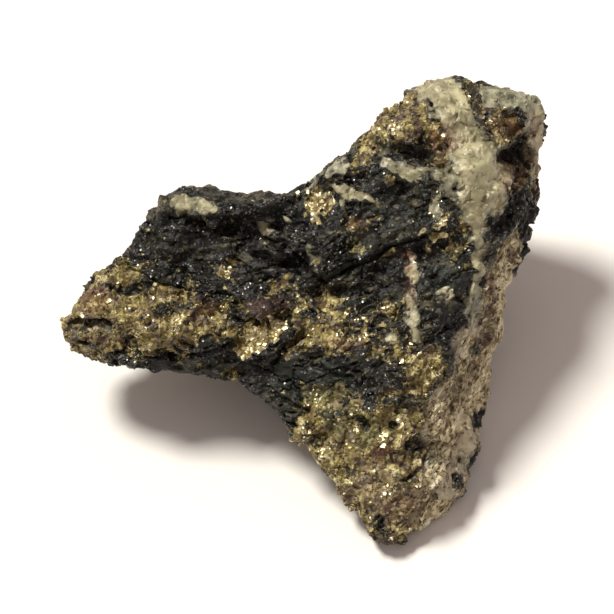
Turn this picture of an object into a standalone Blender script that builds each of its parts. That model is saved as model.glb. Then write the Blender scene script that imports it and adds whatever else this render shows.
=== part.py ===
"""Quartz and pyrite specimen: one broken, three-lobed lump of vein rock that rests on a rough flat break.

The lump is laid out on its broad broken face, in millimetres: u runs across the face, v up it and w out of it.
Its left arm points to -u, its upper block to +u and +v, and its foot lobe to -v. A flat slab with the outline
of the face is drawn out, front and back, to the depths of the lump. Ledges, cracks and lumps follow, and then
the chips and the layers of the broken surface. Last, the face leans back by FACE_TILT, and the underside is cut
level where the lump rests.
"""

import math

import bmesh
import bpy
import numpy as np
from mathutils import Matrix, Vector, noise

MM = 0.001

# Driving dimensions, in millimetres and degrees.
FACE_TILT = 35.0  # the broad face is this far from level
FACE_ORIGIN = (0.0, -5.3, 29.5)  # where u = v = w = 0 stands, with the lump's box centred over the origin
RIM_THICKNESS = 4.5  # of the sharp edge all round the face
FLANK_SLOPE = 2.4  # how fast the lump thickens, going in from its edge
FLOOR_GAP = 1.0  # between the rough underside and the floor, away from the pads
PAD_DEPTH = 1.2  # how far a pad would reach below the floor, before it is cut level
SLAB_VOXEL = 0.8
ROCK_VOXEL = 0.62
FACETS = 9200  # triangles left after thinning, before the level cut

# The edge of the broad face (u, v), clockwise from the tip of the left arm.
OUTLINE = [
    (-44.0, -4.5), (-43.5, -2.0), (-42.0, -0.5), (-41.0, 1.5), (-39.0, 4.5), (-38.5, 6.5),
    (-36.5, 6.5), (-34.0, 7.5), (-32.5, 10.5), (-30.0, 14.0), (-28.5, 17.0), (-26.5, 19.0),
    (-24.0, 21.0), (-20.0, 22.0), (-15.5, 22.0), (-10.5, 20.5), (-6.0, 20.5), (-3.0, 20.5),
    (0.0, 22.5), (2.5, 24.5), (6.5, 28.0), (10.5, 31.5), (12.5, 32.5), (14.0, 35.0), (16.5, 37.0),
    (20.0, 40.0), (23.5, 41.5), (28.5, 42.0), (30.5, 40.0), (34.5, 40.2), (38.5, 40.2), (42.0, 38.8),
    (43.4, 36.0), (43.2, 32.0), (42.7, 28.0), (42.6, 23.0), (42.0, 19.0), (41.2, 15.0), (40.2, 11.0),
    (38.4, 8.5), (37.6, 5.5), (36.2, 2.0), (35.5, -4.0), (34.0, -6.5), (33.4, -12.0), (33.0, -16.5),
    (31.2, -22.0), (29.6, -28.0), (28.5, -33.5), (25.5, -35.8), (21.5, -38.5), (18.0, -41.5),
    (14.5, -42.0), (12.0, -40.0), (9.5, -36.5), (6.0, -31.5), (2.0, -27.0), (-2.0, -22.5),
    (-5.5, -17.5), (-10.0, -14.0), (-14.0, -12.7), (-21.5, -11.2), (-28.0, -10.4), (-34.0, -9.0),
    (-40.5, -8.0), (-43.0, -6.5),
]

# Depths of the broad face (u, v, w). First round the edge, where the face falls away.
FACE_DEPTHS = [
    (-44, -4, -7.5), (-38, 6, -8), (-32, 11, -9), (-28, 17, -9.5), (-24, 21, -10.5), (-15.5, 22, -10.5),
    (-3, 20.5, -9.5), (3.5, 26, -9.5), (10.5, 31.5, -9.5), (16.5, 37, -10), (23, 41, -10), (28.5, 41.5, -9.5),
    (35, 39.5, -11), (42, 37, -11.5), (42, 31, -12), (41.5, 22, -13), (40.5, 15, -13.5), (39, 10, -14.5),
    (36, 1, -15), (34, -7, -14.5), (33.5, -16.5, -14.5), (31, -25, -13), (29, -33, -11),
    (24.5, -36, -7), (21, -39, -4.5), (14.5, -42, -2.5), (10, -37, -2.5), (6, -31.5, -2.5), (0.5, -25, -3),
    (-5, -19, -4), (-10, -14, -5), (-17.5, -12, -5.5), (-24.5, -11, -5.5), (-32, -10, -5.5), (-38, -8, -6),
    # The left arm: its upper strip, its terrace, its lumpy crust and the strip below that.
    (-23, 18, -6.5), (-14, 18.5, -6), (-5, 18, -6.5), (-28, 9.5, -6.5), (-19, 10, -5.8), (-8.5, 12, -6),
    (-37, -0.5, -4.5), (-28, -0.5, -2.8), (-19, -1.5, -2.8), (-12, 0.5, -3.8), (-23, -8.5, -4.5), (-14, -9.5, -4.5),
    # The middle, where the three lobes meet in a shallow trough.
    (-7.5, -0.5, -3.3), (-6.5, -5, -2.6), (3, 4.5, -5.2), (7, 6, -5), (4, 13, -3.5), (11.5, 15.5, -3),
    (17, 19, -3), (17, 8, -2.5), (7.5, -2.5, -1.5), (-1, -11.5, -2), (4, -17, -1), (20, 1, 0),
    # The foot lobe, the ridge down its right side and the flank beyond the ridge.
    (26, -4, 0.5), (24, -13, 0.8), (22, -22, 0.5), (21, -31, -0.5), (8, -24, 0), (13, -31, 0), (14, -38, -1),
    (30, -4, -6), (29.5, -13, -7), (27.5, -22, -6.5), (26.5, -31, -6.5), (32, -15, -11.5),
    # The upper block.
    (31, 23, -1.5), (26, 32, -3), (22, 37, -5), (17, 32, -4), (8, 25, -5), (35, 35, -5), (38, 32, -7.5),
    (38.5, 28, -9.5), (37.5, 21, -7), (38, 15.5, -9), (36, 8.5, -9), (33, 1, -6),
]

# The breaks at the back, each a plane w = depth + across * u + up * v.
BACK_BREAKS = {
    "under_left_arm": (-38.0, -0.46, -0.12),
    "under_middle": (-39.0, 0.10, -0.62),
    "behind_upper_block": (-42.0, 0.08, 0.22),
    "behind_right_edge": (-64.0, 0.88, 0.05),
    "under_foot_tip": (-51.0, 0.05, -1.10),
}

# Where the lump rests: places (u, v) seen through the face, half length, half width and turn.
PADS = {
    "front_right": (25, -20, 8, 7, 0),
    "front_left": (2, -6, 9, 6, 30),
    "middle": (17, 0, 7, 8, 0),
    "back": (28, 10, 6, 7, 0),
}

# Ledges: a line (u, v) from left to right along the foot of a step. The rock above it stands out by the rise,
# the rock below it is undercut by the drop, and both die away over the reach.
LEDGES = {
    "upper_strip": ([(-28.5, 15.5), (-23, 17), (-17, 15), (-9.5, 15.3), (-4, 16.8)], 2.4, 2.2, 4.5),
    "terrace": ([(-32, 8), (-29, 5.5), (-24.5, 4), (-19, 2.8), (-13, 1.2)], 0.8, 2.0, 3.0),
    "terrace_rib": ([(-26, 11.5), (-20, 9), (-14, 8.3), (-8, 7.2)], 0.9, 0.9, 2.2),
    "crust": ([(-28, -7.7), (-20, -8.2), (-15, -7.3), (-12, -5.8), (-8, -3.8), (-4.5, -1.6)], 1.8, 2.2, 3.2),
    "trough_right": ([(4, 4.3), (8, 6.2), (12.5, 8), (17, 10.5), (21, 11.8), (25, 14.8)], 1.8, 1.7, 3.5),
    "block_rib": ([(5, 12), (10, 13.5), (15, 16.5), (20, 18)], 1.0, 1.0, 2.4),
    "trough_left": ([(-9, 6), (-3.5, 6), (0.5, 5), (3.5, 4)], 1.0, 1.6, 3.0),
    "lower_clump": ([(-13, -11.5), (-8.5, -10), (-6, -8.8), (-3.5, -5.5), (0, -3.5)], 1.8, 1.2, 3.2),
    "foot_rib": ([(2, -22), (7, -20), (13, -19), (18, -16)], 0.8, 0.8, 2.2),
}

# Cracks: a line (u, v), its depth and its half width.
CRACKS = {
    "left_of_trough": ([(-4, 10.5), (-1, 8.8), (1.5, 6.5), (2.8, 5.2)], 2.0, 0.9),
    "right_of_trough": ([(4.8, 1.2), (7, 1.2), (9.5, 1.9)], 1.4, 0.8),
    "arm_tip": ([(-42, -2.8), (-39.5, -3.3), (-37, -3.2)], 2.4, 1.1),
    "under_strip": ([(-19, 14.6), (-12, 14.9), (-5, 15.8)], 1.8, 0.9),
    "block_hollow": ([(17.5, 28.5), (20.5, 28), (23.5, 28.3)], 1.8, 1.7),
    "edge_hollow": ([(36, 27), (39, 28), (41, 28)], 2.2, 1.8),
    "behind_top_lump": ([(26, 39.5), (28, 35.5), (30.5, 32.5)], 1.8, 1.0),
    "across_block": ([(23, 10.5), (27, 13), (30.5, 14.5)], 1.4, 0.8),
    "foot_tip": ([(12, -35.5), (14, -37), (15.5, -38.8)], 1.4, 0.9),
    "foot_seam": ([(16, -33), (20, -32), (22.5, -29.5)], 1.4, 0.9),
    "flank_pit": ([(30, -18), (32, -16.5)], 1.4, 1.7),
}

# Lumps of crust and blocks of vein (u, v), their half length, half width, turn in degrees and height.
LUMPS = {
    "arm_tip_crust": (-38, 0.5, 6, 4, 40, 1.2),
    "arm_crust": (-24, -2.5, 12, 4.2, -3, 1.4),
    "bright_clump": (-6.5, -5.5, 4.5, 2.6, 35, 1.4),
    "brown_block": (-7.5, -0.5, 4, 2, 15, 1.0),
    "middle_crust": (8, -5, 8, 5, 0, 0.8),
    "foot_crust": (12, -27, 11, 8, -50, 0.9),
    "foot_knob": (24, -10, 4, 3, 60, 0.8),
    "vein_block": (31.5, 23, 5.5, 7, 0, 1.8),
    "upper_vein": (25.5, 36, 2.6, 6, 25, 1.6),
    "top_lump": (29.5, 38.5, 2.6, 3, 0, 1.6),
    "right_lump": (37, 36.5, 5, 2.6, -5, 1.2),
    "block_crust": (18, 33, 4.5, 3.5, 35, 1.2),
    "vein_rib": (31, 12.5, 1.4, 6.5, 3, 1.0),
    "pale_rib": (19.5, 2, 1.3, 6.5, 5, 0.8),
    "block_edge_vein": (4.5, 24.5, 3.5, 1.8, 35, 1.0),
}

# The broken surface: the chips that it came away in, and the layers that the rock splits along.
LARGE_CHIP, LARGE_CHIP_TIP = 8.0, 0.42
SMALL_CHIP, SMALL_CHIP_TIP = 3.2, 0.55
SKIN = 0.3  # makes up for what the even meshes round off every edge
EDGE_SHARPNESS = 14  # of the change from one chip to the next
LAYER_THICKNESS, LAYER_STEP = 4.8, 1.1
LAYER_NORMAL = Vector((-0.22, 0.86, 0.46)).normalized()
NOISE_SEED = 7


def clear_scene():
    for obj in list(bpy.data.objects):
        bpy.data.objects.remove(obj)


def smooth_step(t):
    t = np.clip(t, 0.0, 1.0)
    return t * t * (3 - 2 * t)


def surface_through(spots, softness=4.0):
    """A function of (u, v) whose smooth surface passes through every spot (u, v, w)."""
    spots = np.array(spots, float)
    places, depths = spots[:, :2], spots[:, 2]
    mean = depths.mean()

    def spread(points):
        gaps = points[:, None, :] - places[None, :, :]
        return np.sqrt((gaps**2).sum(2) + softness**2)

    weights = np.linalg.solve(spread(places), depths - mean)
    return lambda u, v: spread(np.column_stack([u, v])) @ weights + mean


def nearest_on_line(line, u, v, closed=False):
    """Distance from each (u, v) to a line of points, and which side it is on: +1 to the left of the line."""
    points = np.array(line, float)
    ends = np.roll(points, -1, axis=0) if closed else points[1:]
    starts = points if closed else points[:-1]
    best = np.full(len(u), 1e9)
    side = np.ones(len(u))
    for (au, av), (bu, bv) in zip(starts, ends):
        du, dv = bu - au, bv - av
        t = np.clip(((u - au) * du + (v - av) * dv) / (du * du + dv * dv), 0, 1)
        gap = np.hypot(u - au - t * du, v - av - t * dv)
        nearer = gap < best
        best = np.where(nearer, gap, best)
        turn = du * (v - av) - dv * (u - au)
        side = np.where(nearer, np.where(turn >= 0, 1.0, -1.0), side)
    return best, side


def ledge_shape(line, rise, drop, reach, u, v):
    gap, side = nearest_on_line(line, u, v)
    start, end = np.array(line[0]), np.array(line[-1])
    span = end - start
    along = ((u - start[0]) * span[0] + (v - start[1]) * span[1]) / (span @ span)
    inside = smooth_step((along + 0.12) / 0.2) * smooth_step((1.12 - along) / 0.2)
    fade = np.exp(-gap / reach) * smooth_step(gap / 0.5)
    return inside * fade * np.where(side > 0, rise, -drop)


def crack_shape(line, depth, half_width, u, v):
    gap, _ = nearest_on_line(line, u, v)
    return -depth * np.exp(-((gap / half_width) ** 2))


def inside_oval(oval, u, v):
    """1 in the middle of an oval (u, v, half length, half width, turn), and 0 just beyond its edge."""
    centre_u, centre_v, half_length, half_width, turn = oval
    c, s = math.cos(math.radians(turn)), math.sin(math.radians(turn))
    a = ((u - centre_u) * c + (v - centre_v) * s) / half_length
    b = (-(u - centre_u) * s + (v - centre_v) * c) / half_width
    return smooth_step(1.25 - (a * a + b * b))


def face_depth(u, v):
    """w of the broad face, with its ledges, cracks and lumps."""
    w = surface_through(FACE_DEPTHS)(u, v)
    for line, rise, drop, reach in LEDGES.values():
        w = w + ledge_shape(line, rise, drop, reach, u, v)
    for line, depth, half_width in CRACKS.values():
        w = w + crack_shape(line, depth, half_width, u, v)
    for *oval, height in LUMPS.values():
        w = w + height * inside_oval(oval, u, v)
    return w


def floor_depth(u, v):
    """w at which the floor lies behind each (u, v) of the face, and below it where a pad reaches down."""
    lean = math.radians(FACE_TILT)
    pads = np.maximum.reduce([inside_oval(pad, u, v) for pad in PADS.values()])
    gap = FLOOR_GAP - (FLOOR_GAP + PAD_DEPTH) * pads
    return (gap - FACE_ORIGIN[2] - v * math.sin(lean)) / math.cos(lean)


def back_depth(u, v, front):
    """w of the back: the highest of its breaks and its underside, and never thicker than the flanks allow."""
    gap, _ = nearest_on_line(OUTLINE, u, v, closed=True)
    breaks = [depth + across * u + up * v for depth, across, up in BACK_BREAKS.values()]
    flank = front - RIM_THICKNESS - FLANK_SLOPE * gap
    return np.minimum(np.maximum.reduce([*breaks, flank, floor_depth(u, v)]), front - RIM_THICKNESS)


def points_of(mesh):
    found = np.empty(len(mesh.vertices) * 3)
    mesh.vertices.foreach_get("co", found)
    return found.reshape(-1, 3) / MM


def set_points(mesh, points):
    mesh.vertices.foreach_set("co", (points * MM).ravel())
    mesh.update()


def evaluated_copy(obj):
    """The mesh that obj's modifiers make, as an object of the same name in its place."""
    graph = bpy.context.evaluated_depsgraph_get()
    mesh = bpy.data.meshes.new_from_object(obj.evaluated_get(graph))
    name, place, collections = obj.name, obj.matrix_world.copy(), list(obj.users_collection)
    bpy.data.objects.remove(obj)
    made = bpy.data.objects.new(name, mesh)
    made.matrix_world = place
    for collection in collections:
        collection.objects.link(made)
    return made


def remeshed(obj, voxel):
    remesh = obj.modifiers.new("even_mesh", "REMESH")
    remesh.mode = "VOXEL"
    remesh.voxel_size = voxel * MM
    return evaluated_copy(obj)


def face_slab(collection):
    """A flat slab with the face's outline, 2 mm thick."""
    curve = bpy.data.curves.new("face_outline", "CURVE")
    curve.dimensions = "2D"
    curve.fill_mode = "BOTH"
    curve.extrude = 1.0 * MM
    spline = curve.splines.new("POLY")
    spline.points.add(len(OUTLINE) - 1)
    for point, (u, v) in zip(spline.points, OUTLINE):
        point.co = (u * MM, v * MM, 0, 1)
    spline.use_cyclic_u = True
    obj = bpy.data.objects.new("specimen_rock", curve)
    collection.objects.link(obj)
    slab = evaluated_copy(obj)
    bm = bmesh.new()
    bm.from_mesh(slab.data)
    bmesh.ops.remove_doubles(bm, verts=bm.verts, dist=0.01 * MM)
    bm.to_mesh(slab.data)
    bm.free()
    return remeshed(slab, SLAB_VOXEL)


def draw_out(obj):
    """Moves the slab's front to the face's depth, its back to the breaks, and its edge evenly between."""
    points = points_of(obj.data)
    u, v, w = points.T
    front = face_depth(u, v)
    back = back_depth(u, v, front)
    share = np.clip((w - w.min()) / (w.max() - w.min()), 0, 1)
    points[:, 2] = back + share * (front - back)
    set_points(obj.data, points)
    return remeshed(obj, ROCK_VOXEL)


def chip(place, size, tip):
    """Height of a surface broken in flat chips of about this size, each tipped its own way by up to tip."""
    near = place / size
    gaps, seeds = noise.voronoi(near)
    total = share = 0.0
    for gap, seed in zip(gaps, seeds):
        weight = math.exp(EDGE_SHARPNESS * (gaps[0] - gap))
        total += weight * (near - seed).dot(noise.noise_vector(seed * 5.3))
        share += weight
    return tip * size * total / share


def layers(place):
    """Height of the stepped edges of the rock's layers, each rising slowly and then breaking off."""
    wander = 1.6 * noise.noise(place / 9.0) + 0.5 * noise.noise(place / 3.0)
    level = place.dot(LAYER_NORMAL) / LAYER_THICKNESS + wander
    along = level - math.floor(level)
    saw = along / 0.8 if along < 0.8 else (1 - along) / 0.2
    strength = 0.4 + 0.6 * noise.cell(Vector((math.floor(level), 0, 0)))
    return LAYER_STEP * strength * (saw - 0.5)


def roughness_at(place):
    """How far the broken surface stands out at a place, in millimetres."""
    coarse = 0.35 * noise.fractal(place / 8.0, 0.8, 2.0, 3)
    large = chip(place, LARGE_CHIP, LARGE_CHIP_TIP)
    small = chip(place + Vector((50, 0, 0)), SMALL_CHIP, SMALL_CHIP_TIP)
    return SKIN + coarse + large + small + layers(place)


def roughen(obj):
    """Pushes every point out or in along its normal by the broken surface's height."""
    points = points_of(obj.data)
    normals = np.array([vertex.normal for vertex in obj.data.vertices])
    heights = np.array([roughness_at(Vector(point)) for point in points])
    set_points(obj.data, points + normals * heights[:, None])
    return remeshed(obj, ROCK_VOXEL)


def stand_up(obj):
    """Leans the face back and sets it at its place over the origin."""
    lean = Matrix.Rotation(math.radians(FACE_TILT), 4, "X")
    obj.data.transform(Matrix.Translation(Vector(FACE_ORIGIN) * MM) @ lean)


def thin_to_facets(obj):
    obj.data.calc_loop_triangles()
    thin = obj.modifiers.new("flat_facets", "DECIMATE")
    thin.ratio = FACETS / len(obj.data.loop_triangles)
    thin.use_collapse_triangulate = True


def cut_level(obj, cutters):
    """Takes off whatever reaches below the floor, which leaves the flat breaks that the lump rests on."""
    depth = 40 * MM
    bpy.ops.mesh.primitive_cube_add(size=1, location=(0, 0, -depth / 2))
    floor = bpy.context.object
    floor.name = "floor_cutter"
    floor.scale = (200 * MM, 200 * MM, depth)
    floor.hide_render = True
    floor.display_type = "WIRE"
    for collection in list(floor.users_collection):
        collection.objects.unlink(floor)
    cutters.objects.link(floor)
    cut = obj.modifiers.new("level_break", "BOOLEAN")
    cut.operation = "DIFFERENCE"
    cut.solver = "EXACT"
    cut.object = floor


def rock_material():
    material = bpy.data.materials.new("dark schist with quartz and pyrite")
    material.use_nodes = True
    shader = material.node_tree.nodes["Principled BSDF"]
    shader.inputs["Base Color"].default_value = (0.10, 0.095, 0.07, 1)
    shader.inputs["Roughness"].default_value = 0.55
    shader.inputs["Metallic"].default_value = 0.0
    return material


def main():
    clear_scene()
    noise.seed_set(NOISE_SEED)
    rock_parts = bpy.data.collections.new("quartz_and_pyrite_specimen")
    cutters = bpy.data.collections.new("cutters")
    bpy.context.scene.collection.children.link(rock_parts)
    bpy.context.scene.collection.children.link(cutters)
    rock = roughen(draw_out(face_slab(rock_parts)))
    stand_up(rock)
    thin_to_facets(rock)
    cut_level(rock, cutters)
    rock.data.materials.append(rock_material())


main()
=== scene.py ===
# %% [markdown]
# # A quartz and pyrite specimen
#
# The specimen is one broken lump from a mineral vein. Dark schist, a rock that splits in layers, holds
# crusts of granular pyrite and veins of milky quartz. It lies as it was set down, with its broad broken
# face towards us and the rough flat breaks of its underside on the table.
#
# The solid that this scene starts from has the lump's form. This lesson adds what the eye reads from
# close by: the fine broken surface of each mineral, the crystals and flakes on it, and the finishes.

import math

import bmesh
import bpy
import numpy as np
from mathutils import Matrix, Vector, noise


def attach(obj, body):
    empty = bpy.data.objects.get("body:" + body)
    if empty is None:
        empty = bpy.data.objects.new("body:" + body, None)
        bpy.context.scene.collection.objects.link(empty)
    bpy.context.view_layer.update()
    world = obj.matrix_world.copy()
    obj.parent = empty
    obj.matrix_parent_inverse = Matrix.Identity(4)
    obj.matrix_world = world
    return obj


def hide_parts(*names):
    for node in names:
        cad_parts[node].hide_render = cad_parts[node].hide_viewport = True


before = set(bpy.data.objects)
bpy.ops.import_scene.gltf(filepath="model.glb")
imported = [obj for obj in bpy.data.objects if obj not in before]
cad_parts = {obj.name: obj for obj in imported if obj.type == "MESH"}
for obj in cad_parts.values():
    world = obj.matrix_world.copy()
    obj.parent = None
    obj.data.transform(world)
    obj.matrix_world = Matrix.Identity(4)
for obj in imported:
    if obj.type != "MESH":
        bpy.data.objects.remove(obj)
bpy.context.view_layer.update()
MM = 0.001

# %% [markdown]
# ## The face frame
#
# Everything on the specimen is placed on its broad face, in millimetres: u runs across the face, v up it
# and w out of it. The face leans back by 35 degrees. With one function that turns places in the room into
# u, v and w, a vein or a crack can be put down as it would be drawn on the face.

# %% Places on the broad face
FACE_TILT = math.radians(35.0)
FACE_ORIGIN = np.array((0.0, -5.3, 29.5))
FACE_UP = np.array((0.0, math.cos(FACE_TILT), math.sin(FACE_TILT)))
FACE_OUT = np.array((0.0, -math.sin(FACE_TILT), math.cos(FACE_TILT)))


def on_face(points):
    """u, v and w of points in the room, all in millimetres."""
    moved = points - FACE_ORIGIN
    return moved[:, 0], moved @ FACE_UP, moved @ FACE_OUT


def direction(across, up, out):
    """A direction given on the face, as a unit vector in the room."""
    found = np.array((across, 0.0, 0.0)) + up * FACE_UP + out * FACE_OUT
    return found / np.linalg.norm(found)


def smooth_step(t):
    """A step from 0 to 1 with soft ends, as t goes from 0 to 1."""
    t = np.clip(t, 0.0, 1.0)
    return t * t * (3 - 2 * t)


print("the face looks towards", FACE_OUT.round(2))

# %% [markdown]
# ## A fine even mesh
#
# A broken surface has detail everywhere, so it needs small even faces. The solid's flat facets are merged
# and remeshed to a fine grid, and a short smoothing takes the facets' straight edges away. A finer grid
# would show smaller chips, but this one keeps every part under 200,000 triangles.

# %% A fine copy of the solid
FINE_VOXEL = 0.28  # millimetres
SAME_POINT = 0.002  # corners of the solid closer than this, in millimetres, are one point
FACET_SMOOTHING = 6  # rounds of smoothing


def evaluated(obj, name):
    """The mesh that obj's modifiers make, as a new object, and obj is removed."""
    graph = bpy.context.evaluated_depsgraph_get()
    mesh = bpy.data.meshes.new_from_object(obj.evaluated_get(graph))
    bpy.data.objects.remove(obj)
    mesh.name = name
    made = bpy.data.objects.new(name, mesh)
    bpy.context.scene.collection.objects.link(made)
    return made


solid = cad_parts["specimen_rock"]
bm = bmesh.new()
bm.from_mesh(solid.data)
bmesh.ops.remove_doubles(bm, verts=bm.verts, dist=SAME_POINT * MM)
bmesh.ops.recalc_face_normals(bm, faces=bm.faces)
copy = bpy.data.meshes.new("fine_rock")
bm.to_mesh(copy)
bm.free()
copy.materials.clear()
rock = bpy.data.objects.new("fine_rock", copy)
bpy.context.scene.collection.objects.link(rock)
remesh = rock.modifiers.new("even_mesh", "REMESH")
remesh.mode = "VOXEL"
remesh.voxel_size = FINE_VOXEL * MM
soften = rock.modifiers.new("soften_facets", "SMOOTH")
soften.factor = 0.5
soften.iterations = FACET_SMOOTHING
rock = evaluated(rock, "fine_rock")


def values_of(items, name, columns, kind=float):
    """One value of every item of a mesh, as an array with this many columns."""
    found = np.empty(len(items) * columns, kind)
    items.foreach_get(name, found)
    return found.reshape(-1, columns)


base_points = values_of(rock.data.vertices, "co", 3) / MM
base_normals = values_of(rock.data.vertex_normals, "vector", 3)
print("fine mesh:", len(rock.data.vertices), "points,", len(rock.data.polygons), "faces")

# %% [markdown]
# ## Where each mineral lies
#
# The rock was a schist before hot water filled its cracks, so schist is the ground that the rest lies in.
# Each body of pyrite or quartz is an oval on the face, or a vein along a line. The minerals run through
# the lump, so these shapes are carried on into its depth. Where the surface turns away from the face,
# broad noise bends them, or the sides and the back would show straight bars.

# %% Bodies of pyrite and quartz
# Ovals: centre u, v, half length, half width, turn in degrees, share of the mineral, stain from 0 to 1.
PYRITE_BODIES = {
    "arm_tip": (-38.0, -2.0, 7.6, 7.0, 30, 0.95, 0.60),
    "arm_shoulder": (-34.0, 6.4, 5.0, 2.0, 14, 0.95, 0.45),
    "arm_middle": (-27.5, -1.6, 11.0, 6.2, -3, 0.95, 0.35),
    "arm_end": (-15.0, -1.6, 6.4, 4.4, -8, 0.85, 0.50),
    "bright_clump": (-7.6, -4.0, 4.8, 2.8, 40, 0.98, 0.00),
    "above_brown_block": (-4.2, 4.4, 3.2, 1.5, 25, 0.75, 0.30),
    "olive_field": (2.8, -1.0, 6.2, 4.8, -10, 0.80, 0.35),
    "gold_field": (4.0, -5.0, 7.0, 3.2, -8, 0.85, 0.25),
    "middle_field": (11.5, -4.4, 8.0, 4.6, -15, 0.52, 0.30),
    "right_field": (19.8, -11.5, 6.6, 5.0, 60, 0.72, 0.20),
    "upper_right_field": (14.0, 0.6, 4.0, 2.8, 0, 0.36, 0.40),
    "lobe_top": (9.0, -20.8, 10.5, 5.2, -33, 0.94, 0.50),
    "lobe_left": (3.4, -24.6, 8.6, 4.4, -56, 0.92, 0.35),
    "lobe_low_left": (10.4, -34.0, 8.0, 4.2, -54, 0.92, 0.55),
    "lobe_right": (16.6, -20.0, 8.0, 5.0, 70, 0.93, 0.45),
    "lobe_bottom": (14.4, -29.6, 9.6, 6.6, -60, 0.95, 0.50),
    "lobe_tip": (17.0, -38.0, 5.0, 4.2, 30, 0.92, 0.75),
    "string_in_slab": (-3.0, -14.5, 4.2, 0.6, -20, 0.55, 0.20),
    "string_below": (4.0, -15.6, 5.0, 0.8, -12, 0.60, 0.20),
    "terrace_spot": (-20.7, 5.4, 1.5, 1.0, 0, 0.85, 0.40),
    "terrace_spark": (-14.4, 6.8, 1.2, 0.8, -30, 0.95, 0.10),
    "edge_spot": (-13.4, -11.4, 2.6, 1.2, -12, 0.85, 0.20),
    "inner_corner": (2.2, 19.3, 3.4, 2.5, -20, 0.92, 0.10),
    "red_specks": (9.6, 14.9, 3.8, 2.0, 0, 0.50, 0.60),
    "olive_specks": (8.0, 10.8, 3.2, 1.3, 5, 0.70, 0.20),
    "block_top": (17.6, 34.2, 6.4, 4.8, 40, 0.93, 0.45),
    "block_left": (11.6, 30.0, 5.0, 2.2, 42, 0.88, 0.55),
    "block_middle": (25.0, 29.8, 5.4, 3.4, -50, 0.93, 0.60),
    "block_low": (28.2, 24.9, 2.2, 1.2, -50, 0.85, 0.30),
    "block_right": (35.8, 32.4, 4.2, 3.0, -35, 0.95, 0.60),
    "top_lump": (29.2, 40.2, 2.4, 1.9, -20, 0.95, 0.95),
    "top_seam": (30.0, 36.6, 3.4, 1.1, -62, 0.95, 0.90),
    "right_violet": (38.4, 24.0, 2.4, 3.4, 0, 0.80, 0.90),
    "right_spark": (23.0, 13.9, 1.6, 1.1, 80, 0.98, 0.00),
    "right_spot": (27.4, 10.8, 1.7, 1.3, 20, 0.95, 0.30),
    "vein_foot": (29.0, 15.6, 2.2, 1.3, 20, 0.90, 0.40),
    "right_edge_top": (37.6, 11.0, 3.4, 2.0, 70, 0.70, 0.60),
    "right_edge": (33.4, 3.0, 6.6, 1.7, 78, 0.80, 0.50),
    "right_edge_low": (32.0, -4.6, 4.6, 1.6, 84, 0.75, 0.65),
    "flank_seam": (26.6, -12.6, 5.4, 1.7, 70, 0.60, 0.60),
    "flank_middle": (23.6, -23.0, 5.0, 1.8, 66, 0.55, 0.70),
    "flank_low": (22.0, -33.5, 5.0, 2.2, 60, 0.60, 0.70),
    "vein_gold": (19.8, -5.6, 1.7, 1.3, 80, 0.98, 0.10),
    "vein_gold_top": (18.8, 2.2, 1.2, 0.8, 60, 0.90, 0.20),
    "lower_edge": (-24.0, -9.4, 8.0, 0.9, -6, 0.30, 0.30),
}
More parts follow.
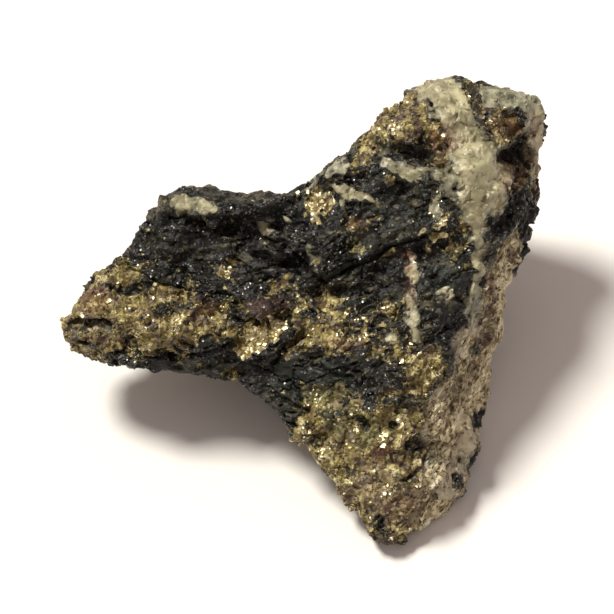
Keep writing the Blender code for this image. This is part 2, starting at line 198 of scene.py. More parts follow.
# Quartz: a line of (u, v, half width), the share of it that is quartz, and its stain from 0 to 1.
QUARTZ_BODIES = {
    "bench_patch": (
        [(-22.8, 19.2, 1.2), (-20.8, 19.6, 1.7), (-18.6, 18.9, 1.8), (-17.0, 17.5, 1.3)], 0.98, 0.35
    ),
    "main_vein": (
        [(22.0, 42.0, 2.8), (25.2, 38.6, 3.0), (27.4, 33.4, 2.4), (29.4, 28.4, 3.6), (32.0, 25.0, 5.4),
         (32.0, 20.6, 4.4), (31.0, 17.6, 2.2), (31.0, 13.6, 1.2), (31.4, 7.0, 1.0)], 0.99, 0.50
    ),
    "vein_shoulder": ([(24.6, 24.0, 1.6), (27.0, 21.6, 2.6), (29.5, 20.0, 2.4)], 0.72, 0.15),
    "vein_left_spur": ([(21.0, 38.6, 1.6), (22.4, 35.2, 1.2)], 0.70, 0.20),
    "vein_foot": ([(30.6, 6.0, 1.0), (30.0, 3.0, 1.7), (29.6, -0.5, 2.2), (30.8, -4.0, 1.8)], 0.80, 0.25),
    "below_hollow": ([(14.4, 25.8, 1.8), (18.0, 24.8, 2.2), (22.6, 25.4, 1.4)], 0.88, 0.15),
    "beside_block_gold": ([(15.4, 31.0, 1.0), (14.0, 28.0, 1.3)], 0.80, 0.20),
    "edge_vein": ([(-0.4, 21.4, 0.9), (3.4, 23.8, 1.8), (7.0, 26.0, 1.4)], 0.85, 0.25),
    "corner_vein": ([(5.6, 22.2, 1.0), (8.0, 21.0, 1.4), (12.4, 19.4, 1.1)], 0.85, 0.50),
    "block_streak": ([(7.4, 16.6, 0.5), (6.0, 19.8, 0.9), (5.6, 22.0, 1.0)], 0.70, 0.30),
    "top_right": ([(32.6, 38.4, 1.8), (37.0, 38.2, 2.2), (41.0, 37.0, 2.0)], 0.97, 0.00),
    "top_right_edge": (
        [(41.6, 36.4, 1.8), (42.6, 32.0, 1.3), (42.6, 26.0, 1.0), (42.2, 20.0, 0.7)], 0.85, 0.60
    ),
    "right_of_gold": ([(40.0, 33.6, 1.2), (39.8, 30.4, 0.9)], 0.80, 0.60),
    "pale_vein": (
        [(18.9, 9.6, 0.9), (19.0, 6.5, 1.0), (19.2, 2.0, 0.9), (19.4, -2.6, 1.0), (19.6, -5.2, 0.6)],
        0.97, 0.50
    ),
    "light_patch": ([(21.8, 3.0, 0.9), (24.6, 3.4, 1.2), (26.4, 2.2, 0.8)], 0.90, 0.25),
    "right_edge_streak": ([(38.6, 16.0, 0.8), (37.0, 11.0, 0.9), (36.4, 6.0, 0.6)], 0.55, 0.40),
    "flank_quartz": ([(29.6, -23.0, 2.0), (28.2, -27.0, 2.5), (25.2, -32.4, 2.6)], 0.80, 0.35),
    "flank_seam": (
        [(25.0, -12.5, 0.9), (24.2, -17.5, 1.3), (23.6, -22.5, 1.2), (24.0, -30.0, 1.0)], 0.55, 0.35
    ),
    "flank_top": ([(28.6, -4.4, 1.2), (27.4, -7.4, 1.4), (27.0, -10.4, 0.8)], 0.60, 0.40),
    "schist_grain_left": ([(-7.4, 14.4, 1.2), (-6.6, 13.8, 1.0)], 0.99, 0.45),
    "schist_grain_right": ([(-3.6, 16.6, 1.0), (-2.2, 15.8, 0.9)], 0.85, 0.20),
    "trough_grain": ([(1.6, 8.6, 0.9), (0.6, 11.0, 0.5)], 0.90, 0.20),
    "round_grain": ([(15.3, -4.9, 0.9), (15.8, -5.0, 0.9)], 0.97, 0.90),
    "block_grain": ([(23.2, 20.2, 1.0), (23.2, 17.0, 1.3)], 0.90, 0.10),
    "lobe_edge": ([(-2.7, -21.2, 0.5), (2.0, -26.2, 0.7), (4.6, -29.0, 0.6), (8.8, -35.4, 0.5)], 0.60, 0.35),
}
# Islands of dark schist inside the others: centre u, v, half length, half width, turn.
SCHIST_ISLANDS = {
    "arm_streak": (-24.2, 0.2, 3.2, 0.9, 3),
    "tip_hole": (-38.4, -2.9, 3.6, 1.0, 5),
    "tip_underside": (-39.5, -6.2, 2.6, 0.8, -20),
    "arm_notch": (-31.5, 4.2, 3.6, 0.9, 6),
    "arm_hole": (-12.2, -0.9, 1.4, 2.2, 10),
    "below_brown": (-7.5, -1.9, 4.0, 0.6, 14),
    "brown_block": (-6.8, 1.0, 4.6, 1.7, 10),
    "middle_dark": (12.0, -10.6, 4.4, 2.2, -20),
    "middle_slit": (7.5, -7.8, 3.2, 0.9, 10),
    "lobe_dark_left": (5.2, -18.8, 1.9, 0.9, -10),
    "lobe_dark_right": (10.3, -20.6, 1.2, 1.0, 0),
    "right_slit": (17.6, -16.4, 3.2, 0.8, 0),
    "lobe_slit": (18.5, -30.0, 2.3, 0.6, 30),
    "lobe_tip_dark": (13.7, -38.2, 2.0, 1.4, -50),
    "flank_dark": (31.6, -19.6, 2.5, 1.4, 45),
    "flank_spot": (26.8, -30.8, 1.8, 0.9, 100),
    "edge_spot": (30.7, -7.4, 1.4, 0.7, 70),
    "block_hollow": (19.6, 28.2, 3.6, 1.6, -8),
    "right_hollow": (38.4, 28.0, 3.0, 1.5, 5),
}
print(len(PYRITE_BODIES), "bodies of pyrite,", len(QUARTZ_BODIES), "of quartz")

# %% [markdown]
# ## Rust, crust, tint and swells
#
# Where the pyrite has weathered, rust has soaked into its neighbours. On the right flank the weathering
# has gone further and left a tan crust over the rock. Some of the schist is greener from chlorite, and
# some of it split more calmly, in larger planes. All four are soft patches without an edge, so each is a
# strength from 0 to 1 at every point. The last list uses the same ovals for five places where the lump
# swells out a little past the solid.

# %% Soft patches
# Ovals: centre u, v, half length, half width, turn in degrees, strength.
RUST_PATCHES = {
    "brown_block": (-6.8, 1.0, 5.4, 2.6, 10, 1.0),
    "arm_rust": (-17.5, 0.8, 3.4, 1.9, 0, 0.8),
    "tip_violet": (-38.0, 2.0, 4.0, 2.6, 30, 0.6),
    "tip_low": (-38.0, -6.0, 4.0, 1.6, -10, 0.5),
    "red_spot": (18.4, 7.4, 1.2, 1.1, 0, 1.0),
    "vein_top": (18.6, 9.6, 1.8, 1.4, 0, 0.9),
    "pale_vein": (18.9, 4.0, 4.6, 1.8, 90, 0.5),
    "lobe_brown": (13.3, -25.4, 3.0, 2.1, 10, 0.8),
    "lobe_low": (17.0, -35.0, 5.0, 2.6, 30, 0.5),
    "right_violet": (37.4, 24.3, 3.0, 4.0, 0, 0.6),
    "right_edge": (33.6, 0.0, 9.0, 1.6, 86, 0.8),
    "middle": (7.5, -5.4, 4.0, 1.7, 0, 0.6),
    "block_middle": (24.6, 30.6, 3.8, 2.6, -45, 0.7),
    "block_right": (36.6, 32.6, 3.6, 2.6, -20, 0.7),
    "specks": (9.8, 15.5, 3.0, 1.6, 0, 0.6),
    "flank": (28.5, -14.0, 6.0, 2.2, 62, 0.5),
}
CRUST_PATCHES = {
    "right_edge_top": (37.4, 10.0, 5.4, 3.4, 74, 1.0),
    "right_edge": (35.4, 1.0, 10.0, 5.0, 84, 1.0),
    "flank_top": (31.4, -9.0, 8.6, 6.4, 78, 1.0),
    "flank": (28.0, -18.5, 11.0, 8.0, 70, 1.0),
    "flank_low": (23.4, -33.0, 10.0, 6.5, 58, 1.0),
    "bench_left": (-26.5, 18.0, 3.6, 2.6, 40, 0.16),
    "bench_top": (-19.0, 21.4, 9.0, 2.0, -4, 0.08),
    "tip_crust": (-39.0, -4.0, 5.0, 5.0, 0, 0.4),
    "lobe_crust": (14.0, -33.0, 9.0, 6.0, -54, 0.65),
    "top_edge": (42.0, 30.0, 10.0, 1.6, 90, 0.8),
}
CALM_PATCHES = {
    "slab": (0.0, -12.0, 11.0, 6.0, -15, 0.6),
    "below_crust": (-20.0, -10.4, 9.0, 2.4, -6, 1.0),
    "bench_back": (-14.0, 21.0, 10.0, 2.6, -6, 0.8),
    "block_middle": (14.0, 18.0, 8.0, 4.0, 25, 0.5),
    "right_block": (26.0, 6.0, 4.0, 6.0, 0, 0.8),
}
GREEN_PATCHES = {
    "slab": (0.5, -12.2, 10.0, 5.6, -15, 1.0),
    "block": (14.0, 19.0, 12.0, 7.0, 25, 0.6),
    "right_block": (25.0, 7.5, 6.5, 5.0, 0, 0.7),
    "top_lump": (29.5, 38.5, 3.4, 3.2, 0, 1.0),
    "lobe": (8.4, -20.4, 9.0, 4.4, -28, 1.0),
    "trough": (10.0, 9.5, 9.0, 2.2, 22, 0.6),
    "vein_heart": (32.0, 24.6, 3.4, 3.4, 0, 0.8),
}
# Places that stand out from the solid a little: the same, and the last number is the height in millimetres.
SWELLS = {
    "arm_shoulder": (-35.5, 7.0, 4.4, 2.8, 20, 0.4),
    "bench_left": (-24.0, 20.8, 3.4, 2.4, 20, 0.8),
    "bench_right": (-9.4, 22.0, 5.4, 2.6, -6, 0.7),
    "flank": (30.6, -22.6, 5.0, 3.0, -78, 1.0),
    "flank_low": (28.4, -31.5, 3.6, 2.6, -60, 0.8),
}
patch_lists = (RUST_PATCHES, CRUST_PATCHES, CALM_PATCHES, GREEN_PATCHES)
print("patches of rust, crust, calm schist and green:", [len(patches) for patches in patch_lists])

# %% [markdown]
# ## From shapes to minerals
#
# Now each point of the fine mesh is given its mineral. How sure it is to be one mineral is a depth in
# millimetres, over 0 inside. It grows with the depth in a body and with the share that the mineral has of
# that body, and patchy noise lets it wander, so a body with a low share falls into patches. Minerals grow
# together grain by grain, so the surface is also divided into small cells, and the chance of each cell
# roughens the border. A few lone grains of pyrite lie outside their bodies. The same cells tip the facets
# later on, and give each grain its own shade.

# %% Noise, cells and shapes
NOISE_SEED = 21
NOISE_REACH = 1.6  # brings Blender's noise to about -1 to 1
ONE_DRAW, OTHER_DRAW = 91.7, 57.3  # unlike multiples of a cell's place give it chances unlike each other
PATCHINESS = 0.6  # how far borders wander, in millimetres
SHARE_PULL = 0.6  # how strongly a body's share of its mineral moves its borders
FULL_DEPTH = 1.2  # how deep in a body the mineral has its full share, in millimetres
FAR_OUTSIDE = -99.0  # a depth, in millimetres, that every shape beats
PATCH_SLOPE = 2.2  # a soft patch has its full strength from about half way in
CREST_SLOPE = 2.2  # how steeply the ground falls on both sides of a crest
noise.seed_set(NOISE_SEED)


def noise_at(points, size):
    """Smooth noise from about -1 to 1 at each point, with features of about this size in millimetres."""
    return np.array([noise.noise(Vector(p)) for p in points / size]) * NOISE_REACH


def waves_at(points, *waves):
    """A sum of smooth noises at each point. Each wave is its height and its size in millimetres."""
    return sum(height * noise_at(points, size) for height, size in waves)


def cells_at(points, size):
    """Each point's cell: two chances from 0 to 1, the point's place in it, and its gap to the next cell."""
    chance, inside, edge = np.empty((len(points), 2)), np.empty((len(points), 3)), np.empty(len(points))
    for i, place in enumerate(points / size):
        gaps, seeds = noise.voronoi(Vector(place))
        chance[i] = (noise.cell(seeds[0] * ONE_DRAW), noise.cell(seeds[0] * OTHER_DRAW + Vector((11, 0, 0))))
        inside[i] = Vector(place) - seeds[0]
        edge[i] = gaps[1] - gaps[0]
    return np.abs(chance) % 1.0, inside * size, edge * size


def oval_depth(u, v, centre_u, centre_v, half_length, half_width, turn):
    """Depth inside an oval in millimetres, below zero outside."""
    c, s = math.cos(math.radians(turn)), math.sin(math.radians(turn))
    a = ((u - centre_u) * c + (v - centre_v) * s) / half_length
    b = (-(u - centre_u) * s + (v - centre_v) * c) / half_width
    return (1 - np.sqrt(a * a + b * b)) * min(half_length, half_width)


def vein_depth(u, v, line):
    """Depth inside a vein whose half width changes along a line of (u, v, half width)."""
    best = np.full(len(u), FAR_OUTSIDE)
    for (au, av, a_half), (bu, bv, b_half) in zip(line, line[1:]):
        du, dv = bu - au, bv - av
        t = np.clip(((u - au) * du + (v - av) * dv) / (du * du + dv * dv), 0, 1)
        gap = np.hypot(u - au - t * du, v - av - t * dv)
        best = np.maximum(best, a_half + t * (b_half - a_half) - gap)
    return best


def bodies_at(u, v, bodies, depth_of, patchy):
    """How sure each point is to be this mineral, and the stain of the body that it lies in or nearest."""
    sure, stain = np.full(len(u), FAR_OUTSIDE), np.zeros(len(u))
    for *shape, share, tint in bodies.values():
        own = np.minimum(depth_of(u, v, *shape), FULL_DEPTH) - FULL_DEPTH
        own = own + SHARE_PULL * PATCHINESS * math.log(share / (1 - share)) + patchy
        stain = np.where(own > sure, tint, stain)
        sure = np.maximum(sure, own)
    return sure, stain


def strength_at(u, v, patches):
    """The strength of soft patches at each point."""
    best = np.zeros(len(u))
    for *oval, strength in patches.values():
        inside = smooth_step(oval_depth(u, v, *oval) / min(oval[2:4]) * PATCH_SLOPE)
        best = np.maximum(best, strength * inside)
    return best


def ridged_at(points, size):
    """Winding sharp crests at each point, from about -1 in the hollows to 1 on a crest."""
    return 1 - CREST_SLOPE * np.abs(noise_at(points, size))


def squeezed(points, towards, share):
    """Points drawn together along a direction, so that noise read there is stretched that way."""
    return points - share * (points @ towards)[:, None] * towards


def looks_out(start, full):
    """How far each point looks out of the broad face, from 0 at the cosine start to 1 at the cosine full."""
    return smooth_step((base_normals @ FACE_OUT - start) / (full - start))


print("share of the surface that looks out of the face:", round(float(looks_out(0.1, 0.5).mean()), 2))

# %% Which mineral has each point
SCHIST, PYRITE, QUARTZ = 0, 1, 2
PYRITE_CELL, QUARTZ_CELL = 1.5, 2.2  # sizes of the grains, in millimetres
# Waves that bend the shapes: the height and the size of each, in millimetres.
BEND, DEEP_BEND, FINE_BEND = (0.6, 6.0), (6.0, 15.0), (0.35, 0.9)
PYRITE_WANDERS, QUARTZ_WANDERS = ((1.5, 3.0), (1.5, 1.2)), ((0.9, 3.6), (1.1, 1.2))
DEEP_STARTS, DEEP_GROWS = 9.0, 14.0  # the deep bend starts this far below the face, and grows over this
# Islands: how ragged they are, how strongly they keep the others out, and from how many millimetres outside.
ISLAND_ROUGH, ISLAND_PULL, ISLAND_EDGE = 0.8, 1.2, 0.1
PYRITE_ROUGH, QUARTZ_ROUGH = 1.2, 0.9  # how far single grains move a border, in millimetres
PASSAGE = 0.9  # the width over which one surface passes into the next, in millimetres
# Lone grains of pyrite: their chance, how much more near a body, and how near in millimetres.
LONE_GRAINS, MORE_NEAR, NEAR = 0.004, 0.05, 3.5
# The finest grains: their share, and how much more at the edge of a body and inside it.
FINE_GOLD, FINE_NEAR, FINE_INSIDE = 0.006, 0.3, 0.67
GOLD_OUTSIDE, GOLD_INSIDE = 1.2, 0.8  # over how many millimetres outside and inside the edge they grow
u, v, w = on_face(base_points)
outward = looks_out(0.05, 0.55)
deep = np.clip((-w - DEEP_STARTS) / DEEP_GROWS, 0.0, 1.0) * (1 - outward)


def bent(place, shift):
    """Places on the face, bent a little everywhere and strongly in the sides and the back."""
    return place + waves_at(base_points + shift, BEND) + deep * waves_at(base_points + shift, DEEP_BEND)


bent_u, bent_v = bent(u, (31, 0, 0)), bent(v, (0, 47, 0))
fine_bend = waves_at(base_points + (9, 9, 9), FINE_BEND)
grain_points = base_points + fine_bend[:, None]
pyrite_patchy = PATCHINESS * waves_at(base_points, *PYRITE_WANDERS)
quartz_patchy = PATCHINESS * waves_at(base_points + 60, *QUARTZ_WANDERS)
pyrite_draw, pyrite_place, pyrite_gap = cells_at(grain_points, PYRITE_CELL)
quartz_draw, quartz_place, _ = cells_at(grain_points + 80, QUARTZ_CELL)
pyrite_sure, pyrite_stain = bodies_at(bent_u, bent_v, PYRITE_BODIES, oval_depth, pyrite_patchy)
quartz_sure, quartz_stain = bodies_at(bent_u, bent_v, QUARTZ_BODIES, vein_depth, quartz_patchy)
island = np.full(len(u), FAR_OUTSIDE)
for oval in SCHIST_ISLANDS.values():
    island = np.maximum(island, oval_depth(bent_u, bent_v, *oval) + ISLAND_ROUGH * fine_bend)
pyrite_sure = np.minimum(pyrite_sure, -ISLAND_EDGE - ISLAND_PULL * island)
quartz_sure = np.minimum(quartz_sure, -ISLAND_EDGE - ISLAND_PULL * island)
pyrite_part = smooth_step(0.5 + pyrite_sure / PASSAGE)
quartz_part = smooth_step(0.5 + quartz_sure / PASSAGE)
lone_grains = LONE_GRAINS + MORE_NEAR * smooth_step((pyrite_sure + NEAR) / NEAR)
pyrite_sure = np.where(pyrite_draw[:, 1] < lone_grains, 1.0, pyrite_sure)
fine_gold = FINE_GOLD + FINE_NEAR * smooth_step((pyrite_sure + GOLD_OUTSIDE) / GOLD_OUTSIDE)
fine_gold += FINE_INSIDE * smooth_step(pyrite_sure / GOLD_INSIDE)
is_quartz = quartz_sure + QUARTZ_ROUGH * (quartz_draw[:, 0] - 0.5) > 0
is_pyrite = (pyrite_sure + PYRITE_ROUGH * (pyrite_draw[:, 0] - 0.5) > 0) & ~is_quartz
mineral = np.where(is_quartz, QUARTZ, np.where(is_pyrite, PYRITE, SCHIST))
print("share of schist, pyrite and quartz:", [round(float((mineral == k).mean()), 2) for k in range(3)])

# %% Stain, shade and soft patches at each point
NEVER_STAINED = 0.12  # masses with less stain than this never tarnished
CLUSTER = 2.4  # the size of a cluster of grains, in millimetres
CLUSTERS_LIE = direction(0.64, 0.77, 0.0)
OWN_SHADE, CLUSTER_SHADE = 0.4, 0.6  # how much of a grain's shade is its own, and how much its cluster's
THIN_EDGE, THICK_FROM = 0.1, 1.3  # quartz is thin at its edge and thick from this far in, in millimetres
CRUST_PULL, CRUST_EDGE = 2.5, (0.8, 2.4)  # where crust wins over the waves of its ragged edge
CALM_SIZE = 7.0  # the size of the calm places, in millimetres
stain = np.where(is_quartz, quartz_stain, pyrite_stain)
bright = stain < NEVER_STAINED
thick = smooth_step((quartz_sure + THIN_EDGE) / THICK_FROM)
cluster_points = squeezed(base_points, CLUSTERS_LIE, 0.5) + 2 * fine_bend[:, None] - 50
cluster_draw, cluster_place, cluster_gap = cells_at(cluster_points, CLUSTER)
pyrite_shade = OWN_SHADE * pyrite_draw[:, 1] + CLUSTER_SHADE * cluster_draw[:, 1]
grain = np.where(is_quartz, quartz_draw[:, 1], pyrite_shade)
rust, crust, calm, green = (strength_at(bent_u, bent_v, patches) for patches in patch_lists)
crust *= smooth_step(CRUST_PULL * crust + waves_at(base_points + 70, CRUST_EDGE))
crust *= 1 - smooth_step((island + 0.4) / 0.8)  # the islands have none
calm = np.maximum(smooth_step(noise_at(base_points + 5, CALM_SIZE)), calm) * (1 - rust)
print("share with crust:", round(float((crust > 0.5).mean()), 2))

# %% [markdown]
# ## How each mineral breaks
#
# Schist splits into thin uneven layers, so its surface is stepped and split along them. Pyrite breaks
# between its crystals, which leaves small facets that face every way and low sharp ridges where clusters
# of them meet. Quartz has no direction in which it splits, so it breaks in larger flat chips. The
# weathered crust is streaky, with fine dark slits. Each is a height that moves the points along their
# normals, and on a border one height passes into the next, so that no wall stands between two minerals. A
# grain's facet is a plane through its cell, tipped its own way.

# %% Facets and treads
TURN_DRAW = 997.0  # makes one chance give a second, which turns the facet
LEAST_TIP = 0.3  # the share of its tip that every facet has
FLAT_SHARE = 0.6  # the share of a tread that is flat, before its riser


def facets(place, draw, tip):
    """Height of each point above its cell's middle, on a plane that the cell's own chances tip."""
    turn = draw[:, 0] * TURN_DRAW % 1.0 * 2 * math.pi
    lean = tip * (LEAST_TIP + (1 - LEAST_TIP) * draw[:, 1])
    across, up, out = place.T
    return (across * np.cos(turn) + up * np.sin(turn)) * lean + out * lean * np.cos(3 * turn)


def terraced(height, step):
    """A height gathered into flat treads with short risers between them."""
    level = height / step
    part = level - np.floor(level)
    return (np.floor(level) + smooth_step((part - FLAT_SHARE) / (1 - FLAT_SHARE))) * step


print("heights 0.2, 0.5 and 0.9 on treads of 1:", terraced(np.array((0.2, 0.5, 0.9)), 1.0).round(2))

# %% Schist and its crust
LAYERS_ON_ARM = direction(-0.04, 0.90, 0.42)
LAYERS_ON_BLOCK = direction(-0.42, 0.80, 0.42)
CRUST_STREAKS = direction(0.57, 0.82, 0.0)
LAYER, LAYER_STEP, PLATE_STEP = 1.5, 0.22, 0.7  # a layer, its edge and a thicker plate, in millimetres
LAYER_BENDS = ((1.0, 9.0), (0.8, 2.2))  # heights in layers, and sizes in millimetres
RISES, FALLS = 0.7, 0.3  # the shares of a layer over which its edge rises and falls
CHIP, CHIP_TIP = 1.7, 0.32  # the size of a chip in millimetres, and how far chips tip
SPLIT_DEPTH, SPLIT_WIDTH, SPLIT_SIZE = 0.9, 0.14, 2.6  # the depth and the size in millimetres
SPLIT_RAGGED, SPLIT_PLACES = (0.2, 0.9), 5.0  # waves in a split's line, and the size of places with splits
# Waves: the height and the size of each, in millimetres.
BROAD_FOLD, NARROW_FOLD, SCHIST_GRAIN = (1.0, 4.4), (0.6, 1.7), (0.06, 0.7)
CRUST_WAVES = ((0.35, 2.4), (0.15, 0.7))
STREAK_HEIGHT, STREAK_SIZE, SLIT_DEPTH, SLIT_WIDTH = 0.38, 1.1, 0.6, 0.12  # all but the last in millimetres
rightness = smooth_step((u + 4) / 12)[:, None]
layer_normal = LAYERS_ON_ARM * (1 - rightness) + LAYERS_ON_BLOCK * rightness
layer_normal /= np.linalg.norm(layer_normal, axis=1)[:, None]
rise = (base_points * layer_normal).sum(1)
level = rise / LAYER + waves_at(base_points, *LAYER_BENDS)
along = level - np.floor(level)
steps = np.where(along < RISES, along / RISES, (1 - along) / FALLS) - 0.5
stretched = np.column_stack([u * 0.4 + 0.2 * rise, rise, w * 0.6])
splits = np.abs(noise_at(stretched + (0, 0, 90), SPLIT_SIZE) + waves_at(base_points, SPLIT_RAGGED))
split_depth = SPLIT_DEPTH * smooth_step(1 - splits / SPLIT_WIDTH)
split_depth *= smooth_step(noise_at(base_points, SPLIT_PLACES) + 0.6)  # splits come only in places
schist_draw, schist_place, _ = cells_at(base_points + 0.8 * fine_bend[:, None] + (20, 0, 0), CHIP)
folds = (0.5 + 0.5 * outward) * waves_at(stretched, BROAD_FOLD)
folds += waves_at(stretched + 40, NARROW_FOLD) * (1 - 0.7 * calm)
schist_height = terraced(folds, PLATE_STEP) - split_depth
chips = LAYER_STEP * steps + facets(schist_place, schist_draw, CHIP_TIP) + waves_at(base_points, SCHIST_GRAIN)
schist_height += chips * (1 - 0.8 * calm)
streaks = noise_at(squeezed(base_points, CRUST_STREAKS, 0.6), STREAK_SIZE)
crust_height = waves_at(base_points, *CRUST_WAVES) + STREAK_HEIGHT * streaks
crust_height -= SLIT_DEPTH * smooth_step(1 - np.abs(streaks) / SLIT_WIDTH)
schist_height += (crust_height - schist_height) * crust
print("schist from", round(float(schist_height.min()), 2), "to", round(float(schist_height.max()), 2), "mm")

# %% Pyrite and quartz
PYRITE_TIP, CLUSTER_TIP, QUARTZ_TIP, FINE_QUARTZ_TIP = 0.3, 0.14, 0.26, 0.12  # how far their facets tip
PYRITE_SEAM, CLUSTER_SEAM = (0.08, 0.15), (0.2, 0.3)  # depth and width between two of them, in millimetres
PYRITE_SUNK, GRAIN_STEP = 0.3, 0.2  # how far pyrite lies back, and its grains differ, in millimetres
PYRITE_SWELL, QUARTZ_WAVES = (0.3, 4.0), ((0.3, 3.4), (0.05, 0.8))
# Crests: their height, size, stretch along the clusters, and a shift that keeps them apart.
CRESTS = (0.45, 2.4, 0.6, 0)
FINE_CRESTS = (0.10, 0.9, 0.4, 9)
BRIGHT_CRESTS = (0.25, 1.5, 0.6, 3)


def crests_at(height, size, stretch, shift):
    return height * ridged_at(squeezed(base_points + shift, CLUSTERS_LIE, stretch), size)


def seam_at(gap, seam):
    depth, width = seam
    return depth * np.exp(-gap / width)


pyrite_height = facets(pyrite_place, pyrite_draw, PYRITE_TIP) + waves_at(base_points, PYRITE_SWELL)
pyrite_height += crests_at(*CRESTS) + crests_at(*FINE_CRESTS) + bright * crests_at(*BRIGHT_CRESTS)
pyrite_height += GRAIN_STEP * (pyrite_draw[:, 1] - 0.5) - seam_at(pyrite_gap, PYRITE_SEAM) - PYRITE_SUNK
pyrite_height += facets(cluster_place, cluster_draw, CLUSTER_TIP) - seam_at(cluster_gap, CLUSTER_SEAM)
quartz_height = facets(quartz_place, quartz_draw, QUARTZ_TIP) + waves_at(base_points, *QUARTZ_WAVES)
quartz_height += facets(pyrite_place, pyrite_draw, FINE_QUARTZ_TIP)
height = schist_height + (pyrite_height - schist_height) * pyrite_part
height += (quartz_height - height) * quartz_part + strength_at(u, v, SWELLS)
print("heights from", round(float(height.min()), 2), "to", round(float(height.max()), 2), "mm")

# %% [markdown]
# ## Cracks
#
# The open cracks follow the layers, and the widest runs under the upper strip of the left arm. A crack is
# a line on the face, with a narrow groove pressed in along it. Only the broad face has them, so points
# that look another way are left out.

# %% Grooves along the cracks
# A line of (u, v), the depth and the half width, in millimetres.
CRACKS = {
    "under_bench": ([(-23.4, 16.8), (-18.0, 15.8), (-13.5, 15.4), (-8.0, 16.2), (-4.0, 17.6)], 3.0, 1.1),
    "trough_left": ([(-9.0, 10.0), (-5.0, 8.8), (-1.5, 8.2), (0.8, 6.4), (3.0, 4.6)], 1.8, 0.55),
    "trough_upper": ([(-7.0, 13.2), (-4.0, 11.8), (-1.0, 9.0), (1.2, 6.6)], 1.3, 0.5),
    "trough_right": (
        [(3.0, 4.6), (6.0, 6.2), (10.0, 7.8), (14.5, 10.8), (18.5, 12.2), (23.5, 13.0)], 2.0, 0.55
    ),
    "terrace_foot": ([(-32.0, 7.6), (-28.5, 5.8), (-24.5, 4.4), (-19.0, 3.4), (-13.0, 2.6)], 1.3, 0.5),
    "terrace_pocket": ([(-29.6, 13.4), (-27.2, 12.9)], 1.3, 0.9),
    "terrace_valley": ([(-24.0, 7.9), (-22.0, 9.6), (-20.4, 10.4), (-18.6, 10.0)], 0.9, 0.6),
    "crust_foot": ([(-26.0, -7.8), (-20.0, -8.2), (-15.0, -7.2), (-11.5, -5.6)], 1.8, 0.6),
    "below_brown": ([(-12.5, 1.5), (-12.2, -1.8), (-9.0, -2.2), (-5.0, -1.4), (-3.0, -0.8)], 1.7, 0.6),
    "slab_top": ([(-14.0, -11.8), (-10.5, -9.6), (-6.0, -9.2), (-3.0, -6.6), (-0.5, -4.6)], 1.6, 0.5),
    "slab_hole": ([(-11.5, -11.0), (-8.5, -9.9)], 1.4, 0.9),
    "tip_hole": ([(-42.0, -2.2), (-38.5, -2.9), (-35.6, -2.5)], 2.2, 0.8),
    "arm_notch": ([(-34.0, 4.4), (-31.0, 3.8), (-28.0, 4.4)], 1.4, 0.6),
    "block_dark": ([(17.0, 28.8), (20.0, 28.2), (23.0, 27.4)], 0.7, 1.1),
    "edge_hollow": ([(35.6, 27.8), (38.4, 28.4), (41.0, 28.2)], 2.0, 1.1),
    "right_block_slit": ([(27.0, 2.0), (28.6, 1.0), (29.6, 4.6)], 1.3, 0.5),
    "slab_dark": ([(2.0, -9.6), (5.0, -11.2), (8.0, -12.0)], 0.9, 0.5),
    "slab_edge": ([(-5.5, -15.0), (-2.5, -16.6), (0.0, -18.4)], 0.9, 0.4),
    "lobe_slit": ([(16.8, -30.8), (18.4, -30.0), (20.2, -28.6)], 1.0, 0.4),
    "flank_ridge": ([(22.8, -24.0), (21.0, -28.0), (22.0, -33.0)], 0.8, 0.4),
}
CRACK_WAVER = (0.5, 2.2)  # height and size of the waves in a crack's line, in millimetres
CRACK_LIP = 0.6  # how far outside a crack its side starts, as a share of its half width


def grooves_at(u, v):
    """The depth of the grooves at each place on the face."""
    deepest = np.zeros(len(u))
    for line, depth, half_width in CRACKS.values():
        inside = vein_depth(u, v, [(a, b, half_width) for a, b in line])
        side = (inside + CRACK_LIP * half_width) / ((1 + CRACK_LIP) * half_width)
        deepest = np.maximum(deepest, depth * smooth_step(side))
    return deepest


waver = waves_at(base_points + (3, 0, 0), CRACK_WAVER)
grooves = looks_out(0.1, 0.5) * grooves_at(u + waver, v + 0.7 * waver)
height -= grooves
print("deepest groove:", round(float(grooves.max()), 1), "mm")

# %% Move the points, and keep the resting breaks level
RESTS_BELOW = 0.35  # points of the solid below this height, in millimetres, belong to a level break
moved = base_points + base_normals * height[:, None]
resting = base_points[:, 2] < RESTS_BELOW
moved[resting, 2] = np.maximum(base_points[resting, 2], 0.0)
moved[:, 2] = np.maximum(moved[:, 2], 0.0)
rock.data.vertices.foreach_set("co", (moved * MM).ravel())
rock.data.update()
print("lowest point:", round(float(moved[:, 2].min()), 3), "mm above the floor")

# %% [markdown]
# ## One mesh for each mineral
#
# Dividing the surface by mineral lets each part have its own finish, and anyone can repaint the quartz
# without touching the pyrite. A face that stands alone among three of another mineral takes theirs, and
# the points along a border are drawn together, so that it runs smoothly and not in steps. The parts share
# their edges exactly, so no gap opens between them. Each point keeps what its material reads as
# attributes: stain, rust, crust, green, the grain's own shade, the share of fine gold, how thick the
# quartz is, and how many crystals stand there.

# %% Divide the surface by mineral
SHARP_EDGE = math.radians(32)  # an edge that folds by more than this is shown as a sharp one
BACK_STARTS = -13.0  # w, in millimetres, where the schist of the face ends and that of the back begins
